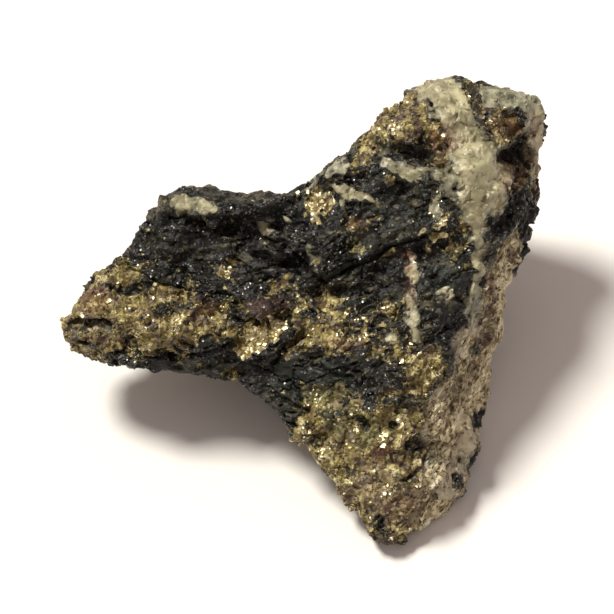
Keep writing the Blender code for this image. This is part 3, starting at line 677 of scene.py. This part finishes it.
# The remesh makes only four-sided faces.
corners = values_of(rock.data.loops, "vertex_index", 1, int).reshape(-1, 4)
face_mineral = np.median(mineral[corners], axis=1).astype(int)
edges = np.sort(np.concatenate([corners[:, [i, (i + 1) % 4]] for i in range(4)]), axis=1)
sorting = np.lexsort(edges.T)
pairs = sorting.reshape(-1, 2)  # the mesh is closed, so each edge comes twice, once from each of its faces
first, second = pairs[:, 0] % len(corners), pairs[:, 1] % len(corners)
for _ in range(2):
    around = np.zeros((len(corners), 3))
    np.add.at(around, (first, face_mineral[second]), 1)
    np.add.at(around, (second, face_mineral[first]), 1)
    face_mineral = np.where(around.max(axis=1) >= 3, around.argmax(axis=1), face_mineral)
border = edges[pairs[face_mineral[first] != face_mineral[second], 0]]
for _ in range(2):
    total, count = np.zeros_like(moved), np.zeros(len(moved))
    for a, b in (border.T, border.T[::-1]):
        np.add.at(total, a, moved[b])
        np.add.at(count, a, 1)
    lies = count > 0
    moved[lies] += 0.5 * (total[lies] / count[lies, None] - moved[lies])
print(len(border), "edges on the borders between minerals")


def part_of(name, wanted):
    """The faces of one mineral as an object of their own, with the attributes of their points."""
    faces = corners[wanted]
    used, faces = np.unique(faces, return_inverse=True)
    mesh = bpy.data.meshes.new(name)
    mesh.from_pydata((moved[used] * MM).tolist(), [], faces.reshape(-1, 4).tolist(), shade_flat=False)
    for attribute, values in attributes.items():
        kept = mesh.attributes.new(attribute, "FLOAT", "POINT")
        kept.data.foreach_set("value", values[used].astype(np.float32))
    mesh.set_sharp_from_angle(angle=SHARP_EDGE)
    made = bpy.data.objects.new(name, mesh)
    bpy.context.scene.collection.objects.link(made)
    print(name, len(mesh.polygons) * 2, "triangles")
    return made


# Fresh pyrite has many crystals and stained or crusted pyrite few. Crust and calm places have few flakes.
crystals = np.where(mineral == PYRITE, np.clip(1.1 - stain - 0.5 * crust, 0.05, 1.0) + 1.5 * bright,
                    (1 - crust) * (1 - 0.85 * calm))
attributes = {"stain": stain, "rust": rust, "crust": crust, "green": green, "grain": grain,
              "crystals": crystals, "fine_gold": fine_gold, "thick": thick}
face_out = w[corners].mean(axis=1) > BACK_STARTS
schist_face = part_of("schist_face", (face_mineral == SCHIST) & face_out)
schist_back = part_of("schist_back", (face_mineral == SCHIST) & ~face_out)
pyrite_masses = part_of("pyrite_masses", face_mineral == PYRITE)
quartz_veins = part_of("quartz_veins", face_mineral == QUARTZ)
bpy.data.objects.remove(rock)

# %% [markdown]
# ## Colours and nodes
#
# A few small helpers serve every material. One turns a colour as it is written on a colour chart into the
# linear numbers that the renderer needs. One adds a node with its settings and its links. Weathered stone
# wears coats that lie over one another, each only so far, and one helper lays such coats.

# %% Helpers for materials and node trees
PER_METRE = 1 / MM  # a size of s millimetres is a texture scale of PER_METRE / s
# Kinds of node that come up often, each with its settings.
NOISE, CELLS, BUMP, PARTS, RANGE = (
    ("ShaderNode" + kind, {}) for kind in ("TexNoise", "TexVoronoi", "Bump", "SeparateColor", "MapRange")
)
SOFT_RANGE = ("ShaderNodeMapRange", {"interpolation_type": "SMOOTHSTEP"})
FREE_RANGE = ("ShaderNodeMapRange", {"clamp": False})
TURNED = ("ShaderNodeMapping", {"vector_type": "TEXTURE"})
RAMP = ("ShaderNodeValToRGB", {})
MIX = ("ShaderNodeMix", {"data_type": "RGBA"})
PLUS, TIMES, TIMES_PLUS, BELOW = (
    ("ShaderNodeMath", {"operation": name}) for name in ("ADD", "MULTIPLY", "MULTIPLY_ADD", "LESS_THAN")
)
SCALE, MINUS, DOT = (
    ("ShaderNodeVectorMath", {"operation": name}) for name in ("SCALE", "SUBTRACT", "DOT_PRODUCT")
)


def linear(hex_colour):
    """An sRGB colour such as #c8b277, as linear numbers."""
    channels = [int(hex_colour[i : i + 2], 16) / 255 for i in (1, 3, 5)]
    return tuple(c / 12.92 if c <= 0.04045 else ((c + 0.055) / 1.055) ** 2.4 for c in channels) + (1.0,)


def feed(node, inputs):
    """Gives inputs, by name or index, a value, a hex colour, a socket to link from or a node to link from."""
    for key, value in inputs.items():
        if isinstance(value, str) and value.startswith("#"):
            value = linear(value)
        if isinstance(value, bpy.types.Node):
            value = next(socket for socket in value.outputs if socket.enabled)
        if isinstance(value, bpy.types.NodeSocket):
            node.id_data.links.new(value, node.inputs[key])
        else:
            node.inputs[key].default_value = value


def add(tree, kind, settings=None, inputs=None):
    """Adds a node with these properties and inputs."""
    node = tree.nodes.new(kind)
    for name, value in (settings or {}).items():
        setattr(node, name, value)
    feed(node, inputs or {})
    return node


def set_stops(ramp, *stops):
    """Gives a colour ramp its stops, each a position and a colour."""
    ramp.elements.remove(ramp.elements[-1])
    ramp.elements[0].position = stops[0][0]
    ramp.elements[0].color = linear(stops[0][1])
    for position, colour in stops[1:]:
        ramp.elements.new(position).color = linear(colour)


def coated(tree, base, *coats):
    """Lays coats over a base colour. Each coat is two shares, to be multiplied, and a colour."""
    for share, other_share, colour in coats:
        laid = add(tree, *TIMES, {0: share, 1: other_share})
        base = add(tree, *MIX, {0: laid, 6: base, 7: colour})
    return base


def new_material(name, *attributes):
    """A material, its node tree, its shader, the place in the object and the values of these attributes."""
    material = bpy.data.materials.new(name)
    material.use_nodes = True
    tree = material.node_tree
    place = add(tree, "ShaderNodeTexCoord").outputs["Object"]
    readers = [add(tree, "ShaderNodeAttribute", {"attribute_name": each}) for each in attributes]
    values = (reader.outputs["Fac"] for reader in readers)
    return material, tree, tree.nodes["Principled BSDF"], place, *values


print("the grey #808080 in linear numbers:", round(linear("#808080")[0], 2))

# %% Patterns that several minerals share
FINE_GRAIN, FINE_WARP = 0.5, 0.9  # the width of a grain, and how far its edges wander, in millimetres


def facet_height(tree, place, size):
    """The height of small planes of this size, each tipped its own way, and a colour for each plane."""
    cell = add(tree, *CELLS, {"Vector": place, "Scale": PER_METRE / size})
    places = (place, cell.outputs["Position"])
    scaled, centre = (add(tree, *SCALE, {0: each, "Scale": PER_METRE / size}) for each in places)
    from_centre = add(tree, *MINUS, {0: scaled, 1: centre})
    tip = add(tree, *MINUS, {0: cell.outputs["Color"], 1: (0.5, 0.5, 0.5)})
    return add(tree, *DOT, {0: from_centre, 1: tip}), cell.outputs["Color"]


def fine_grains(tree, place, share):
    """Where a half-millimetre grain is pyrite, by this share of them, and a chance for its shade."""
    stray = add(tree, *NOISE, {"Vector": place, "Scale": PER_METRE / FINE_GRAIN}).outputs["Color"]
    warped = add(tree, "ShaderNodeVectorMath", {"operation": "MULTIPLY_ADD"},
                 {0: stray, 1: (FINE_WARP * MM,) * 3, 2: place})
    cell = add(tree, *CELLS, {"Vector": warped, "Scale": PER_METRE / FINE_GRAIN}).outputs["Color"]
    draws = add(tree, *PARTS, {0: cell}).outputs
    return add(tree, *BELOW, {0: draws[0], 1: share}), draws[1]


print("the finest grains are", FINE_GRAIN, "mm wide")

# %% [markdown]
# ## Schist
#
# The schist is nearly black, from biotite and chlorite, with a green-grey cast on the planes where it
# split and a fine sparkle from the mica. It is a rough stone and not a metal. Its colour changes along
# the layers, so the noise is stretched along them: bands of 2.6 mm, and cells of 0.55 mm for the mica.
# Each cell is a small plane that is tipped its own way by bump, and its roughness is its own too, so
# neighbours catch the light one after another.
#
# Over this ground lie the tan crust in streaks, rust beside the pyrite, and grains of pyrite half a
# millimetre wide, which are too small to be cut out of the mesh and are dotted on by chance.

# %% Schist, dark and split along its layers
LAYER_TURN = (math.radians(-22), math.radians(-12), 0.0)
STREAK_TURN = (0.0, math.radians(-28), math.radians(49))
# Sizes in millimetres.
BAND, WIDE_BAND, STREAK, SCHIST_GRIT, MICA_PLATE = 2.6, 5.0, 0.9, 0.6, 0.55
# Split along its mica: satin planes that catch the light one after another.
schist, tree, shader, place, rusted, crusted, greened, gold_share = new_material(
    "schist, dark, split along its layers", "rust", "crust", "green", "fine_gold"
)
along, streaky = (
    add(tree, *TURNED, {"Vector": place, "Rotation": turn, "Scale": (stretch, 1.0, 1.0)})
    for turn, stretch in ((LAYER_TURN, 2.2), (STREAK_TURN, 2.0))
)
bands, wide, streaks, fine = (
    add(tree, *NOISE, {"Vector": vector, "Scale": PER_METRE / size, "Detail": detail, "Roughness": rough})
    for vector, size, detail, rough in (
        (along, BAND, 6.0, 0.65), (along, WIDE_BAND, 2.0, 0.5), (streaky, STREAK, 5.0, 0.65),
        (place, SCHIST_GRIT, 4.0, 0.7),
    )
)
mica_plane, mica_colour = facet_height(tree, along, MICA_PLATE)
mica = add(tree, *PARTS, {0: mica_colour})
wide_tone = add(tree, *RANGE,
                {"Value": wide, "From Min": 0.35, "From Max": 0.65, "To Min": -0.09, "To Max": 0.11})
tone = add(tree, *PLUS, {0: wide_tone, 1: bands})
shade = add(tree, *TIMES_PLUS, {0: mica.outputs[0], 1: 0.34, 2: tone})
dark = add(tree, *RAMP, {0: shade})
set_stops(dark.color_ramp, (0.45, "#0c0c0a"), (0.62, "#12120f"), (0.72, "#191811"), (0.79, "#1c1f18"),
          (0.87, "#302c1f"), (0.96, "#544e38"))
greener = add(tree, "ShaderNodeMix", {"data_type": "RGBA", "blend_type": "ADD"},
              {0: greened, 6: dark, 7: "#0f150f"})
streak_tone = add(tree, *TIMES_PLUS, {0: wide_tone, 1: 0.5, 2: streaks})
tan = add(tree, *RAMP, {0: streak_tone})
set_stops(tan.color_ramp, (0.33, "#3b3328"), (0.41, "#857658"), (0.48, "#c5b792"), (0.56, "#dcd2ae"),
          (0.67, "#ebe4cd"))
rust_mottle = add(tree, *RANGE, {"Value": bands, "From Min": 0.36, "From Max": 0.56})
is_gold, gold_shade = fine_grains(tree, place, gold_share)
gold = add(tree, *MIX, {0: gold_shade, 6: "#4f4930", 7: "#aa9c68"})
colour = coated(tree, greener, (crusted, 1.0, tan), (rusted, rust_mottle, "#432d23"), (is_gold, 1.0, gold))
metal = add(tree, *RANGE, {"Value": is_gold, "To Min": 0.0, "To Max": 0.7})
gloss = add(tree, *RANGE, {"Value": mica.outputs[1], "To Min": 0.28, "To Max": 0.6})
dulled = add(tree, "ShaderNodeMath", {"operation": "MULTIPLY_ADD", "use_clamp": True},
             {0: crusted, 1: 0.4, 2: gloss})
relief = add(tree, *BUMP, {"Strength": 1.0, "Distance": 0.45 * MM, "Height": mica_plane})
fine_relief = add(tree, *BUMP, {"Strength": 0.8, "Distance": 0.25 * MM, "Height": fine, "Normal": relief})
feed(shader, {"Base Color": colour, "Metallic": metal, "Roughness": dulled, "IOR": 1.5,
              "Specular IOR Level": 0.35, "Normal": fine_relief})
for body in (schist_face, schist_back):
    body.data.materials.append(schist)
print("made", schist.name)

# %% [markdown]
# ## Pyrite
#
# Pyrite is a pale brassy metal, but on a weathered lump most of it wears a coat of tarnish, olive to
# brown and dull. So most crystals take their colour from a coat that drifts from patch to patch, and the
# stain and rust attributes turn it browner. Crystals stay fresh by chance, more of them where they are
# sheltered, and all of them in the few masses that never tarnished: there the surface is metal. Specks of
# dark rock break up the rest, and so does a painted shade of small pits that have no relief of their own.

# %% Pyrite, broken and granular
# Broken between its crystals: bright flashes of metal among dull tarnished grains.
pyrite_metal, tree, shader, place, stained, rusted, crusted, greened, grained, gold_share = new_material(
    "pyrite, broken granular", "stain", "rust", "crust", "green", "grain", "fine_gold"
)
CRYSTAL, DRIFT, BRUISE, SHELTER, PIT_SHADE = 0.8, 2.6, 3.8, 3.4, 0.5  # sizes in millimetres
crystal_plane, crystal_colour = facet_height(tree, place, CRYSTAL)
crystal = add(tree, *PARTS, {0: crystal_colour})
drift, bruise, sheltered, fine = (
    add(tree, *NOISE, {"Vector": place, "Scale": PER_METRE / size, "Detail": detail, "Roughness": rough})
    for size, detail, rough in ((DRIFT, 3.0, 0.6), (BRUISE, 3.0, 0.6), (SHELTER, 2.0, 0.5), (PIT_SHADE, 3.0, 0.7))
)
wide_drift = add(tree, *FREE_RANGE, {"Value": drift, "To Min": -0.25, "To Max": 1.25})
own_shade = add(tree, *TIMES_PLUS, {0: grained, 1: 0.35, 2: wide_drift})
shade = add(tree, *TIMES_PLUS, {0: crystal.outputs[0], 1: 0.25, 2: own_shade})
coat = add(tree, *RAMP, {0: shade})
set_stops(coat.color_ramp, (0.46, "#2d2426"), (0.57, "#4d3d33"), (0.68, "#6d5d3b"), (0.79, "#847841"),
          (0.88, "#9b8c54"), (0.95, "#897f4e"), (1.0, "#cdc08a"))
bruised = add(tree, *SOFT_RANGE, {"Value": bruise, "From Min": 0.47, "From Max": 0.62, "To Max": 0.95})
tarnish = coated(tree, coat, (greened, 0.65, "#757749"), (crusted, 0.6, "#a3927a"),
                 (stained, bruised, "#4c3733"), (rusted, 0.7, "#6d4030"))
fresh_share = add(tree, *RANGE,
                  {"Value": sheltered, "From Min": 0.48, "From Max": 0.66, "To Min": 0.03, "To Max": 0.7})
less_fresh = add(tree, *TIMES_PLUS, {0: stained, 1: -0.25, 2: fresh_share})
never_stained = add(tree, *BELOW, {0: stained, 1: NEVER_STAINED})
stainable = add(tree, "ShaderNodeMath", {"operation": "SUBTRACT"}, {0: 1.0, 1: never_stained})
chance = add(tree, "ShaderNodeMath", {"operation": "MAXIMUM"}, {0: less_fresh, 1: never_stained})
fresh = add(tree, *BELOW, {0: crystal.outputs[1], 1: chance})
metal_colour = add(tree, *MIX, {0: crystal.outputs[2], 6: "#f0e7c4", 7: "#a2935e"})
is_gold, _ = fine_grains(tree, place, gold_share)
dark_rock = add(tree, *RANGE, {"Value": is_gold, "To Min": 0.8, "To Max": 0.0})
# Painted shade: the finest noise darkens the colour where small pits would lie in shadow, with no relief
# under them.
pit_shade = add(tree, *SOFT_RANGE,
           {"Value": fine, "From Min": 0.38, "From Max": 0.52, "To Min": 0.6, "To Max": 0.0})
colour = coated(tree, tarnish, (fresh, 1.0, metal_colour), (dark_rock, stainable, "#1d1914"),
                (pit_shade, stainable, "#3a2f22"))
metal = add(tree, *RANGE, {"Value": fresh, "To Min": 0.2, "To Max": 1.0})
gloss = add(tree, *RANGE, {"Value": fresh, "To Min": 0.55, "To Max": 0.42})
strength = add(tree, *RANGE, {"Value": never_stained, "To Min": 0.5, "To Max": 1.0})
relief = add(tree, *BUMP, {"Strength": strength, "Distance": 0.5 * MM, "Height": crystal_plane})
feed(shader, {"Base Color": colour, "Metallic": metal, "Roughness": gloss, "Normal": relief})
pyrite_masses.data.materials.append(pyrite_metal)
print("made", pyrite_metal.name)

# %% [markdown]
# ## Quartz
#
# Vein quartz is milky, because it is full of tiny bubbles. Light goes a short way into it, which softens
# its shadows, and its broken faces have a slightly greasy gloss. Iron stains it cream. Where it is thin,
# the dark rock below shows through, so it turns smoky towards the edge of a vein and dark grit shows
# there. Dust from the crust and rust lie on it in places.

# %% Quartz, milky, broken
# Milky and freshly broken: soft edges, a cloudy body and a low greasy gloss.
quartz_glass, tree, shader, place, stained, rusted, crusted, greened, thickness = new_material(
    "quartz, milky, broken", "stain", "rust", "crust", "green", "thick"
)
CLOUD, SPECK, GRIT, FLAT = 3.0, 0.8, 0.6, 1.0  # sizes in millimetres
cloud, speck = (
    add(tree, *NOISE, {"Vector": place, "Scale": PER_METRE / size, "Detail": 4.0, "Roughness": rough})
    for size, rough in ((CLOUD, 0.6), (SPECK, 0.65))
)
cloud_share = add(tree, *SOFT_RANGE, {"Value": cloud, "From Min": 0.40, "From Max": 0.60})
speck_share = add(tree, *SOFT_RANGE, {"Value": speck, "From Min": 0.54, "From Max": 0.72})
smoke = add(tree, *MIX, {0: stained, 6: "#70715a", 7: "#a69d77"})
milk = add(tree, *MIX, {0: stained, 6: "#a09d80", 7: "#cdc39a"})
clouded = add(tree, *MIX, {0: cloud_share, 6: smoke, 7: milk})
bodied = add(tree, *MIX, {0: thickness, 6: "#605e4c", 7: clouded})
grit = add(tree, *CELLS, {"Vector": place, "Scale": PER_METRE / GRIT}).outputs["Color"]
grit_share = add(tree, *RANGE, {"Value": thickness, "To Min": 0.4, "To Max": 0.03})
is_grit = add(tree, *BELOW, {0: grit, 1: grit_share})
colour = coated(tree, bodied, (greened, 1.0, "#b3ae88"), (speck_share, 1.0, "#6b6252"),
                (is_grit, 1.0, "#3f3c2c"), (crusted, speck, "#b3a287"), (rusted, speck, "#7a4a30"))
flat, _ = facet_height(tree, place, FLAT)
relief = add(tree, *BUMP, {"Strength": 0.5, "Distance": 0.4 * MM, "Height": flat})
fine_relief = add(tree, *BUMP, {"Strength": 0.4, "Distance": 0.2 * MM, "Height": speck, "Normal": relief})
feed(shader, {"Base Color": colour, "Subsurface Weight": 0.3, "Subsurface Scale": 1.5 * MM,
              "Subsurface Radius": (1.0, 0.9, 0.7), "Roughness": 0.42, "IOR": 1.54, "Normal": fine_relief})
quartz_veins.data.materials.append(quartz_glass)
print("made", quartz_glass.name)

# %% [markdown]
# ## Mica
#
# Mica cleaves into thin plates, and the flakes on the schist are such plates, from nearly black to pale
# bronze. They are far smaller than any pattern on them would be, so one noise gives each its shade, and a low
# roughness gives it its flash.

# %% Mica, cleaved, bright
# Cleaved: each flake is small, flat and glossy, and flashes when it faces the lamp.
mica_plates, tree, shader, place = new_material("mica, cleaved, bright")
FLAKE_SHADE = 1.0  # the size of the noise that gives the shades, in millimetres
shades = add(tree, *NOISE, {"Vector": place, "Scale": PER_METRE / FLAKE_SHADE})
colour = add(tree, *RAMP, {0: shades})
set_stops(colour.color_ramp, (0.42, "#1b1b19"), (0.62, "#716f66"))
feed(shader, {"Base Color": colour, "Roughness": 0.28, "IOR": 1.6})
print("made", mica_plates.name)

# %% [markdown]
# ## Crystals and flakes on the surface
#
# The pyrite is a crowd of small crystals, and the schist is sprinkled with thin flakes of mica that lie
# nearly flat on it. Both are one small shape repeated on a surface more than a thousand times, each
# turned and sized by chance, which is what Geometry Nodes are for. One tree does both: it scatters
# points, as many as the surface's crystals attribute asks for, sets a small box on each, and makes the
# result real geometry. The boxes of pyrite are sunk into the mass, so that only corners of them show.

# %% A node tree that scatters small crystals
def scatter_tree(name):
    """Scatters boxes on a mesh. Each lies on its face, then turns by chance as far as loose allows."""
    tree = bpy.data.node_groups.new(name, "GeometryNodeTree")
    io = tree.interface
    io.new_socket("Surface", in_out="INPUT", socket_type="NodeSocketGeometry")
    for title, kind, value in (
        ("Density", "NodeSocketFloat", 1.0),
        ("Box size", "NodeSocketVector", (0.001, 0.001, 0.001)),
        ("Smallest", "NodeSocketFloat", 0.5),
        ("Largest", "NodeSocketFloat", 1.0),
        ("Loose", "NodeSocketVector", (0.0, 0.0, 0.0)),
        ("Sunk", "NodeSocketFloat", 0.0),
        ("Floor gap", "NodeSocketFloat", 0.0),
        ("Seed", "NodeSocketInt", 1),
        ("Finish", "NodeSocketMaterial", None),
    ):
        socket = io.new_socket(title, in_out="INPUT", socket_type=kind)
        if value is not None:
            socket.default_value = value
    io.new_socket("Crystals", in_out="OUTPUT", socket_type="NodeSocketGeometry")
    given = add(tree, "NodeGroupInput").outputs
    place = add(tree, "GeometryNodeInputPosition")
    height = add(tree, "ShaderNodeSeparateXYZ", None, {0: place}).outputs["Z"]
    clear = add(tree, "FunctionNodeCompare", {"data_type": "FLOAT", "operation": "GREATER_THAN"},
                {0: height, 1: given["Floor gap"]})
    share = add(tree, "GeometryNodeInputNamedAttribute", {"data_type": "FLOAT"}, {"Name": "crystals"})
    local = add(tree, *TIMES, {0: given["Density"], 1: share})
    points = add(tree, "GeometryNodeDistributePointsOnFaces", {"distribute_method": "RANDOM"},
                 {"Mesh": given["Surface"], "Selection": clear, "Density": local, "Seed": given["Seed"]})
    down = add(tree, *SCALE, {0: points.outputs["Normal"], "Scale": given["Sunk"]})
    sunk = add(tree, "GeometryNodeSetPosition", None, {"Geometry": points.outputs["Points"], "Offset": down})
    box = add(tree, "GeometryNodeMeshCube", None, {"Size": given["Box size"]})
    less = add(tree, *SCALE, {0: given["Loose"], "Scale": -1.0})
    chance = add(tree, "FunctionNodeRandomValue", {"data_type": "FLOAT_VECTOR"},
                 {0: less, 1: given["Loose"], "Seed": given["Seed"]})
    turned = add(tree, "FunctionNodeEulerToRotation", None, {0: chance})
    turn = add(tree, "FunctionNodeRotateRotation", {"rotation_space": "LOCAL"},
               {0: points.outputs["Rotation"], 1: turned})
    size = add(tree, "FunctionNodeRandomValue", {"data_type": "FLOAT"},
               {2: given["Smallest"], 3: given["Largest"], "Seed": given["Seed"]})
    boxes = add(tree, "GeometryNodeInstanceOnPoints", None,
                {"Points": sunk, "Instance": box, "Rotation": turn, "Scale": size})
    real = add(tree, "GeometryNodeRealizeInstances", None, {"Geometry": boxes})
    finished = add(tree, "GeometryNodeSetMaterial", None, {"Geometry": real, "Material": given["Finish"]})
    add(tree, "NodeGroupOutput", None, {0: finished})
    return tree


scatter = scatter_tree("scattered crystals")
print("the scatter tree has", len(scatter.nodes), "nodes")


def scattered(name, surface, values):
    """A piece of small crystals on a surface, made with the scatter tree and these values for its inputs."""
    host = bpy.data.objects.new(name + "_host", surface.data)
    bpy.context.scene.collection.objects.link(host)
    modifier = host.modifiers.new("scatter", "NODES")
    modifier.node_group = scatter
    for item in scatter.interface.items_tree:
        if item.in_out == "INPUT" and item.name in values:
            modifier[item.identifier] = values[item.name]
    made = evaluated(host, name)
    made.data.update()
    print(name, sum(p.loop_total - 2 for p in made.data.polygons), "triangles")
    return made


# %% Pyrite crystals
# Density is the number on a square metre, so 0.4e6 is 0.4 on a square millimetre. Loose is in radians.
# Sunk moves a box along its normal, and less than nothing is inwards.
pyrite_crystals = scattered("pyrite_crystals", pyrite_masses, {
    "Density": 0.4e6, "Box size": (1.2 * MM, 0.8 * MM, 0.7 * MM), "Smallest": 0.5, "Largest": 1.1,
    "Loose": (3.14, 3.14, 3.14), "Sunk": -0.22 * MM, "Floor gap": 1.2 * MM, "Seed": 5, "Finish": pyrite_metal,
})

# %% Flakes of mica on the schist
mica_flakes = scattered("mica_flakes", schist_face, {
    "Density": 1.6e6, "Box size": (0.40 * MM, 0.30 * MM, 0.08 * MM), "Smallest": 0.5, "Largest": 1.0,
    "Loose": (0.4, 0.4, 3.14), "Sunk": 0.0, "Floor gap": 1.2 * MM, "Seed": 8, "Finish": mica_plates,
})

# %% [markdown]
# ## Table, light and camera
#
# The specimen lies on plain pale card. One soft lamp stands beyond its upper left, so that its shadow
# falls towards the lower right, and a dim warm sky fills the shadows. The camera looks down at the broad
# face, square to it, from far enough away that nothing is distorted.

# %% Floor
FLOOR_SIZE = 3.0  # metres
bpy.ops.mesh.primitive_plane_add(size=FLOOR_SIZE)
floor = bpy.context.object
floor.name = "floor"
# Matt card: it takes the shadow and has hardly any gloss.
card, _, shader, _ = new_material("card, matt, pale")
feed(shader, {"Base Color": "#eceae5", "Roughness": 0.8})
floor.data.materials.append(card)
print("made", card.name)

# %% Light and sky
LAMP_DIRECTION = Vector((-0.49, 0.28, 1.0))  # from the specimen towards the lamp
LAMP_WIDTH = math.radians(16.0)  # a wide lamp gives a soft edge to the shadow
sun = bpy.data.lights.new("soft_lamp", "SUN")
sun.energy = 4.0
sun.angle = LAMP_WIDTH
sun.color = (1.0, 0.965, 0.90)
lamp = bpy.data.objects.new("soft_lamp", sun)
lamp.rotation_euler = LAMP_DIRECTION.to_track_quat("Z", "Y").to_euler()
bpy.context.scene.collection.objects.link(lamp)
world = bpy.data.worlds.new("studio")
world.use_nodes = True
world.node_tree.nodes["Background"].inputs["Color"].default_value = (1.0, 0.84, 0.81, 1)
world.node_tree.nodes["Background"].inputs["Strength"].default_value = 0.40
bpy.context.scene.world = world
bpy.context.scene.view_settings.view_transform = "Standard"
print("the lamp is", round(math.degrees(sun.angle)), "degrees wide")

# %% Camera, square to the broad face
IMAGE_WIDTH = 614 * 0.18  # millimetres across the view, at the face
DISTANCE = 600.0  # millimetres from the camera to the place it is aimed at
AIM = (0.36, 0.54, -5.0)  # that place, as u, v and w
SENSOR = 36.0  # the width of the camera's film, which the lens is measured against, in millimetres
centre = FACE_ORIGIN + np.array((AIM[0], 0, 0)) + AIM[1] * FACE_UP + AIM[2] * FACE_OUT
camera_data = bpy.data.cameras.new("camera")
camera_data.sensor_width = SENSOR
camera_data.lens = SENSOR * DISTANCE / IMAGE_WIDTH
camera_data.clip_start = 0.01
camera = bpy.data.objects.new("camera", camera_data)
camera.location = Vector((centre + DISTANCE * FACE_OUT) * MM)
camera.rotation_euler = (FACE_TILT, 0, 0)
bpy.context.scene.collection.objects.link(camera)
bpy.context.scene.camera = camera
print("the camera is", round(camera.location.z / MM), "mm above the table")

# %% Hand the pieces over
for piece, finish in (
    (schist_face, "schist"),
    (schist_back, "schist"),
    (pyrite_masses, "pyrite"),
    (quartz_veins, "quartz"),
    (pyrite_crystals, "pyrite"),
    (mica_flakes, "schist"),
):
    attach(piece, "root")
    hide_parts("specimen_rock")
